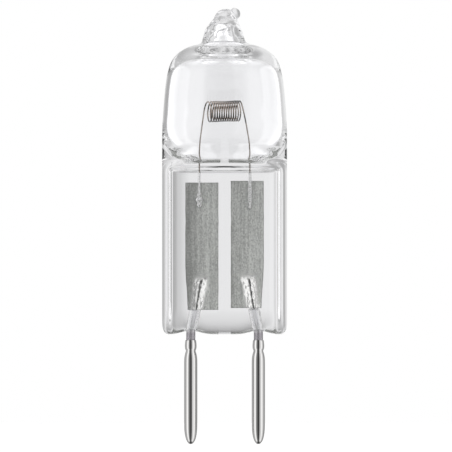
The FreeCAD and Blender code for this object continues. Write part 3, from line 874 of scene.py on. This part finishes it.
class BULB_OT_filament(bpy.types.Operator):
    """Winds the filament from one tungsten wire, with its two legs"""

    bl_idname = "capsule_bulb.filament"
    bl_label = "Filament"

    def execute(self, context):
        look = context.scene.capsule_metal
        metal = self.tungsten(look)
        deselect()
        bpy.ops.curve.primitive_bezier_curve_add()
        wire = bpy.context.object
        wire.name = "filament_wire"
        wire.data.splines.clear()
        run = wire.data.splines.new("POLY")
        places = self.centre_line(look.coil_turns)
        run.points.add(len(places) - 1)
        for point, place in zip(run.points, places):
            point.co = (*(place * MM), 1)
            point.radius = self.swelling(place, look.wire_radius / MM)
        wire.data.bevel_depth = look.wire_radius
        wire.data.bevel_resolution = WIRE_FACETS
        wire.data.use_fill_caps = True
        wire.data.dimensions = "3D"
        bpy.ops.object.convert(target="MESH")
        bpy.ops.object.shade_smooth()
        seat(wire, "filament", metal)
        return {"FINISHED"}

    def swelling(self, place, wire_radius):
        """How much thicker the welded end of a leg is than the wire."""
        lumps = LEG_VOIDS["left" if place.x < 0 else "right"]
        for (low, before), (high, after) in zip(lumps, lumps[1:]):
            if low <= place.z <= high:
                share = smooth_step(low, high, place.z)
                radius = before + (after - before) * share - LEG_SLACK
                return max(1.0, radius / wire_radius)
        return 1.0

    def tungsten(self, look):
        """Drawn tungsten with pitted welds; painted light and shade on the coil, lit at its upper
        front and lower back.
        """
        material, shading, shader = new_material("drawn_tungsten")
        reckon = shading.reckon
        _, depth, height = shading.split(shading.place())
        above = reckon("MULTIPLY", reckon("SUBTRACT", height, COIL_MIDDLE[2] * MM), 1 / MM)
        lean = reckon("MULTIPLY", above, PAINTED_LIGHT_LEAN)
        backwards = reckon("ADD", reckon("MULTIPLY", depth, 1 / MM), lean)
        turned = reckon("MULTIPLY", above, backwards)
        tones = [(stop, darkened(look.wire, share)) for stop, share in PAINTED_COIL_TONES]
        # Painted light and shade: the coil lighter at its upper front and lower back, darker
        # between
        coil = shading.tones(shading.spread(turned, -PAINTED_TONE_REACH, PAINTED_TONE_REACH), tones)
        grain = shading.grain(*WIRE_GRAIN)
        weld = shading.two_tones(grain, look.weld, WELD_SHARE)
        on_leg = reckon("GREATER_THAN", height, WELD_TOP * MM)
        leg = shading.blend_colours(on_leg, weld, darkened(look.wire, LEG_SHARE))
        on_coil = reckon("GREATER_THAN", above, -COIL_RADIUS - COIL_ROOM)
        values = {
            "Metallic": 1.0,
            "Roughness": WIRE_ROUGHNESS,
            "Base Color": shading.blend_colours(on_coil, leg, coil),
            "Normal": shading.bump(grain, *METAL_RELIEF),
        }
        shading.dress(shader, values)
        return material

    def centre_line(self, turns):
        """Up the left leg, round the coil from left to right and down the right leg."""
        along = Vector((math.cos(COIL_YAW), math.sin(COIL_YAW), COIL_RISE))
        back = Vector((-math.sin(COIL_YAW), math.cos(COIL_YAW), 0))
        up = Vector((0, 0, 1))
        coil = []
        steps = round(turns * TURN_STEPS)
        for step in range(steps + 1):
            share = step / steps
            angle = 2 * math.pi * turns * share
            radius = COIL_RADIUS * (1 + COIL_WAVER * math.sin(WAVER_PACE * share))
            opened = COIL_OPENING * (1 - math.exp(-turns * share / OPENING_TURNS))
            reached = (COIL_LENGTH - COIL_OPENING) * share + opened - COIL_LENGTH / 2
            outwards = back * math.cos(angle) + up * math.sin(angle)
            coil.append(Vector(COIL_MIDDLE) + along * reached + outwards * radius)
        left = self.leg(-1, coil[0], coil[0] - coil[1])
        right = self.leg(1, coil[-1], coil[-1] - coil[-2])
        return left[::-1] + coil + right

    def leg(self, side, start, leaving):
        """From the coil's end in one bow to the pinch, and straight down to the weld."""
        foot = Vector((side * LEG_X, LEG_Y, LEG_END))
        entry = Vector((side * LEG_X, LEG_Y, LEG_ENTRY))
        length = (start - entry).length
        lead_out = start + leaving.normalized() * length * COIL_PULL
        lead_in = entry + Vector((0, 0, 1)) * length * ENTRY_PULL
        places = []
        for step in range(1, LEG_STEPS + 1):
            t = step / LEG_STEPS
            places.append(
                start * (1 - t) ** 3
                + lead_out * (3 * t * (1 - t) ** 2)
                + lead_in * (3 * t * t * (1 - t))
                + entry * t**3
            )
        return places + [entry.lerp(foot, n / WELD_STEPS) for n in range(1, WELD_STEPS + 1)]


class BULB_OT_envelope(bpy.types.Operator):
    """Raises the quartz envelope ring by ring, presses its pinch and hollows it"""

    bl_idname = "capsule_bulb.envelope"
    bl_label = "Quartz Envelope"

    def execute(self, context):
        look = context.scene.capsule_quartz
        noise.seed_set(FOLD_SEED)
        outside = self.outside(look)
        hollows = [self.cavity(look)]
        for end, side in SIDES:
            hollows.append(self.lead_void(end, side))
            hollows.append(self.leg_void(end, side))
        for hollow in hollows:
            edit(hollow)
            face_all(inside=True)
        join(outside, hollows)
        seat(outside, "glass_envelope", self.clear_quartz(look))
        return {"FINISHED"}

    def clear_quartz(self, look):
        """Fire-polished quartz, with faint drawn streaks along the bulb."""
        material, shading, shader = new_material("clear_quartz")
        streaks = shading.grain(*QUARTZ_STREAKS)
        values = {
            "Transmission Weight": 1.0,
            "IOR": look.refraction,
            "Roughness": 0.0,
            "Base Color": shading.two_tones(streaks, look.tint, STREAK_SHARE),
            "Normal": shading.bump(streaks, *QUARTZ_RELIEF),
        }
        shading.dress(shader, values)
        return material

    def outside(self, look):
        """The blown bulb, its tip with the bead, and the pinch, closed along its foot."""
        rings = [ring[:2] for ring in PINCH_RINGS] + BULB_RINGS
        shell = raise_rings("quartz_envelope", rings, look.sides)
        for height, _, share, half_depth in PINCH_RINGS:
            flatten_ring(shell, height, share)
            press_ring(shell, height, half_depth)
        self.sink_web(shell)
        self.round_foot(shell)
        self.draw_bead(shell)
        close_end(shell, BULB_RINGS[-1][0])
        bpy.ops.mesh.select_all(action="SELECT")
        bpy.ops.mesh.remove_doubles(threshold=FOOT_GAP)
        face_all(inside=False)
        smooth_out(shell, look.levels)
        push(shell, lambda place: fold(place, TIP_BASE, TIP_FOLD))
        push(shell, self.round_bead)
        return shell

    def sink_web(self, shell):
        """Sinks the flat between the ribs, front and back, and swells it towards them."""
        for side in (-1, 1):
            pick(
                shell,
                lambda place: place.z < WEB_TOP
                and abs(place.x) < WEB_REACH
                and place.y * side > RIB_HALF - RIB_SLACK,
            )
            bpy.ops.transform.translate(value=(0, -side * WEB_DEPTH * MM, 0))
        bpy.ops.object.mode_set(mode="OBJECT")

        def swell(place):
            if place.z > WEB_TOP or abs(place.x) > WEB_REACH or abs(place.y) < WEB_CORE:
                return (0, 0, 0)
            share = max(0.0, (abs(place.x) - WEB_FLAT) / (WEB_REACH - WEB_FLAT))
            return (0, math.copysign(WEB_SWELL * share * share, place.y), 0)

        push(shell, swell)
        edit(shell)

    def round_foot(self, shell):
        """Draws the lowest rings together to a rounded foot, lifted in a notch at each lead."""
        for (height, _, _, _), share in zip(PINCH_RINGS, FOOT_DEPTHS):
            flatten_ring(shell, height, share)
        bpy.ops.object.mode_set(mode="OBJECT")

        def notch(place):
            away = min(1.0, abs(abs(place.x) - PIN_X) / NOTCH_REACH)
            low = 1 - smooth_step(PINCH_RINGS[0][0], NOTCH_TOP, place.z)
            return (0, 0, NOTCH_LIFT * low * (1 + math.cos(math.pi * away)) / 2)

        push(shell, notch)
        edit(shell)

    def draw_bead(self, shell):
        """Pulls the cut-off bead out of the shoulder of the tip."""
        bpy.ops.mesh.select_mode(type="FACE")
        mesh = bmesh.from_edit_mesh(shell.data)
        for face in mesh.faces:
            middle = face.calc_center_median() / MM
            around = abs(math.atan2(middle.y, middle.x))
            face.select = BEAD_LOW < middle.z < BEAD_HIGH and around < BEAD_HALF_ANGLE
        bmesh.update_edit_mesh(shell.data)
        middle = Vector(BEAD_START) * MM
        for length, size in BEAD_STEPS:
            step = Vector(BEAD_DRAW) * length * MM
            middle += step
            bpy.ops.mesh.extrude_region_move(TRANSFORM_OT_translate={"value": step})
            bpy.ops.transform.resize(value=(size, size, size), center_override=middle)
        bpy.ops.mesh.select_mode(type="VERT")

    def round_bead(self, place):
        """Draws what stands out of the tip's shoulder to a ball."""
        away = place - Vector(BEAD_MIDDLE)
        share = smooth_step(*BEAD_NECK, away.dot(Vector(BEAD_DRAW)))
        if not share or away.length > BEAD_REACH:
            return (0, 0, 0)
        return away * (share * (BEAD_RADIUS / away.length - 1))

    def cavity(self, look):
        """The gas space, from the pressed floor to the end of the bore in the tip."""
        rings = [ring[:2] for ring in FLOOR_RINGS] + CAVITY_RINGS
        shell = raise_rings("gas_space", rings, look.sides)
        for height, radius, half_depth in FLOOR_RINGS:
            flatten_ring(shell, height, half_depth / radius)
        cap_rings(shell, FLOOR_RINGS[0][0])
        close_end(shell, CAVITY_RINGS[-1][0])
        smooth_out(shell, look.levels)
        push(shell, lambda place: fold(place, BORE_BASE, BORE_FOLD))
        return shell

    def lead_void(self, end, side):
        """The capillary that the quartz leaves round a lead below the foil."""
        ends = (VOID_HEIGHTS[0], VOID_HEIGHTS[-1])
        rings = []
        for number, height in enumerate(VOID_HEIGHTS):
            lump = VOID_LUMP * math.sin(LUMP_PACE * number + side)
            radius = VOID_END_RADIUS if height in ends else VOID_RADIUS + lump
            rings.append((height, radius, side * lead_x(height), lead_y(height)))
        return self.void(f"lead_void_{end}", rings, VOID_SIDES)

    def leg_void(self, end, side):
        """The lumpy capillary round a filament leg where it is welded to the foil."""
        rings = [(height, radius, side * LEG_X, LEG_Y) for height, radius in LEG_VOIDS[end]]
        return self.void(f"leg_void_{end}", rings, LEG_VOID_SIDES)

    def void(self, name, rings, sides):
        """A closed hollow from its rings."""
        shell = raise_rings(name, rings, sides)
        cap_rings(shell, rings[0][0], rings[-1][0])
        smooth_out(shell, VOID_LEVELS)
        return shell


class BULB_OT_stage(bpy.types.Operator):
    """Sets up the pale floor, the studio light and the camera"""

    bl_idname = "capsule_bulb.stage"
    bl_label = "Stage"

    def execute(self, context):
        scene = context.scene
        look = scene.capsule_studio
        self.floor(look)
        self.studio(scene)
        self.camera(scene, look)
        scene.view_settings.view_transform = "Standard"
        scene.cycles.max_bounces = RAY_BOUNCES
        scene.cycles.transmission_bounces = RAY_BOUNCES
        scene.cycles.glossy_bounces = MIRROR_BOUNCES
        return {"FINISHED"}

    def floor(self, look):
        """A pale disc, unseen in mirrors and from below."""
        deselect()
        middle = (0, 0, look.floor_height)
        bpy.ops.mesh.primitive_circle_add(
            vertices=FLOOR_SIDES, radius=FLOOR_RADIUS, fill_type="NGON", location=middle
        )
        floor = bpy.context.object
        floor.name = "studio_floor"
        material, shading, shader = new_material("pale_floor")
        reckon, ease = shading.reckon, shading.ease
        ray = shading.node("LightPath").outputs
        place = shading.place()
        across, depth, _ = shading.split(place)
        reach = shading.node("VectorMath", operation="LENGTH")
        shading.feed(reach.inputs[0], place)
        aside = reckon("DIVIDE", reckon("ABSOLUTE", across), reckon("ADD", depth, FAN_START))
        near = ease(reach.outputs["Value"], *FLOOR_NEAR)
        seen = shading.blend(near, ease(aside, *FAN_SIDES), FLOOR_NEAR_LEVEL)
        layers = reckon("GREATER_THAN", ray["Transmission Depth"], LAYERED)
        seen = reckon("MAXIMUM", reckon("MULTIPLY", seen, layers), ease(depth, *FLOOR_FRONT))
        seen = reckon("MULTIPLY", seen, ray["Is Transmission Ray"])
        shown = reckon("MULTIPLY", ray["Is Camera Ray"], FLOOR_SHOWN)
        values = {
            "Base Color": FLOOR_COLOUR,
            "Roughness": FLOOR_ROUGHNESS,
            "Emission Color": WHITE,
            "Emission Strength": reckon("ADD", seen, shown),
        }
        shading.dress(shader, values)
        below = shading.node("NewGeometry").outputs["Backfacing"]
        either = shading.node("MixShader")
        shading.feed(either.inputs[0], reckon("MAXIMUM", ray["Is Glossy Ray"], below))
        shading.feed(either.inputs[1], shader.outputs[0])
        shading.feed(either.inputs[2], shading.node("BsdfTransparent").outputs[0])
        surface = shading.given("OUTPUT_MATERIAL").inputs["Surface"]
        shading.feed(surface, either.outputs[0])
        floor.data.materials.append(material)

    def rim(self, shading, bearing):
        """The light round the bulb at one level, by bearing."""
        curve = shading.node("FloatCurve")
        points = curve.mapping.curves[0].points
        while len(points) < len(STUDIO_RIM):
            points.new(0.5, 0.5)
        for point, (degrees, level) in zip(points, STUDIO_RIM):
            point.location = (degrees / 360 + 0.5, level / RIM_PEAK)
            point.handle_type = "VECTOR"
        curve.mapping.update()
        around = shading.reckon("ADD", shading.reckon("DIVIDE", bearing, 360), 0.5)
        shading.feed(curve.inputs["Value"], around)
        return shading.reckon("MULTIPLY", curve.outputs["Value"], RIM_PEAK)

    def studio(self, scene):
        """A white backdrop behind the bulb, a soft light on either side and a dark gap in front.

        Metal mirrors it with a fill on the right. The glass shows it evened out, so that
        the thin bulb, the solid pinch and the far side each have a backdrop of their own.
        """
        world = bpy.data.worlds.new("studio")
        scene.world = world
        world.use_nodes = True
        shading = Shading(world.node_tree)
        reckon, ease, blend = shading.reckon, shading.ease, shading.blend
        ray = shading.node("LightPath").outputs
        across, depth, height = shading.split(shading.place("Generated"))
        towards = reckon("MULTIPLY", depth, -1.0)
        bearing = reckon("DEGREES", reckon("ARCTAN2", across, towards))
        aside = reckon("ABSOLUTE", bearing)
        steep = reckon("ABSOLUTE", height)
        rim = self.rim(shading, bearing)
        behind = ease(aside, *BACKDROP)
        before = reckon("SUBTRACT", 1.0, behind)
        layers = reckon("GREATER_THAN", ray["Transmission Depth"], LAYERED)

        fill = reckon("MULTIPLY", ease(bearing, *FILL_RISE), ease(bearing, *FILL_FALL))
        mirrored = reckon("MINIMUM", reckon("MAXIMUM", rim, fill), MIRRORED_MOST)
        mirrored = blend(ease(steep, *STEEP_MIRRORED), mirrored, STEEP_MIRRORED_LEVEL)

        through = blend(ease(steep, *STEEP_THROUGH), rim, STEEP_THROUGH_LEVEL)
        least = reckon("MULTIPLY", reckon("MULTIPLY", before, layers), LAYERED_LEAST)
        through = reckon("MINIMUM", reckon("MAXIMUM", through, least), THROUGH_MOST)
        lower = reckon("MULTIPLY", ease(height, *UNDERSIDE), before)
        direct = reckon("LESS_THAN", ray["Glossy Depth"], UNMIRRORED)
        opposite = reckon("MULTIPLY", direct, ease(aside, *CAMERA_SIDE))
        through = reckon("MAXIMUM", reckon("MAXIMUM", through, lower), opposite)
        upper = shading.spread(height, *UPPER_BACK)
        upper = reckon("MULTIPLY", ease(aside, *STRAIGHT_BEHIND), upper)
        through = blend(upper, through, UPPER_BACK_LEVEL)

        halo = reckon("MINIMUM", shading.spread(aside, *HALO), ease(aside, *HALO_EDGE))
        halo = blend(ease(aside, *HALO_MIDDLE), halo, HALO_MIDDLE_LEVEL)
        halo = blend(ease(steep, *STEEP_HALO), halo, STEEP_HALO_LEVEL)
        through = blend(reckon("MULTIPLY", layers, behind), through, halo)

        level = blend(ease(steep, *STEEP), rim, STEEP_LEVEL)
        level = blend(ray["Is Glossy Ray"], level, mirrored)
        level = blend(ray["Is Transmission Ray"], level, through)
        level = blend(ray["Is Camera Ray"], level, 1.0)
        shading.dress(shading.given("BACKGROUND"), {"Color": WHITE, "Strength": level})

    def camera(self, scene, look):
        """A long lens, level with the middle of the photograph's frame."""
        data = bpy.data.cameras.new("camera")
        camera = bpy.data.objects.new("camera", data)
        scene.collection.objects.link(camera)
        middle = FRAME_PIXELS / 2
        across = (middle - AXIS_COLUMN) / PIXELS_PER_MM * MM
        height = (ORIGIN_ROW - middle) / PIXELS_PER_MM * MM
        camera.location = (across, -look.distance, height)
        camera.rotation_euler = (math.pi / 2, 0, 0)
        data.lens = data.sensor_width * look.distance / (FRAME_PIXELS / PIXELS_PER_MM * MM)
        data.clip_end = CAMERA_REACH
        scene.camera = camera


class BULB_PT_panel(bpy.types.Panel):
    """Lists the pieces of the bulb and what can be changed on them"""

    bl_idname = "BULB_PT_panel"
    bl_label = "Capsule Bulb"
    bl_space_type = "VIEW_3D"
    bl_region_type = "UI"
    bl_category = "Capsule Bulb"

    def draw(self, context):
        for operator in OPERATORS:
            self.layout.operator(operator.bl_idname)
        for name, group in GROUPS.items():
            box = self.layout.box()
            box.label(text=group.__doc__)
            for value in group.__annotations__:
                box.prop(getattr(context.scene, name), value)


GROUPS = {"capsule_quartz": QuartzLook, "capsule_metal": MetalLook, "capsule_studio": StudioLook}
OPERATORS = (
    BULB_OT_sleeves, BULB_OT_leads, BULB_OT_foils,
    BULB_OT_filament, BULB_OT_envelope, BULB_OT_stage,
)


def register():
    for kind in (*GROUPS.values(), *OPERATORS, BULB_PT_panel):
        bpy.utils.register_class(kind)
    for name, group in GROUPS.items():
        setattr(bpy.types.Scene, name, PointerProperty(type=group))


def unregister():
    for name in GROUPS:
        delattr(bpy.types.Scene, name)
    for kind in (BULB_PT_panel, *reversed(OPERATORS), *reversed(GROUPS.values())):
        bpy.utils.unregister_class(kind)


def main():
    register()
    bpy.ops.capsule_bulb.sleeves()
    bpy.ops.capsule_bulb.leads()
    bpy.ops.capsule_bulb.foils()
    bpy.ops.capsule_bulb.filament()
    bpy.ops.capsule_bulb.envelope()
    bpy.ops.capsule_bulb.stage()
    deselect()


if __name__ == "__main__":
    main()
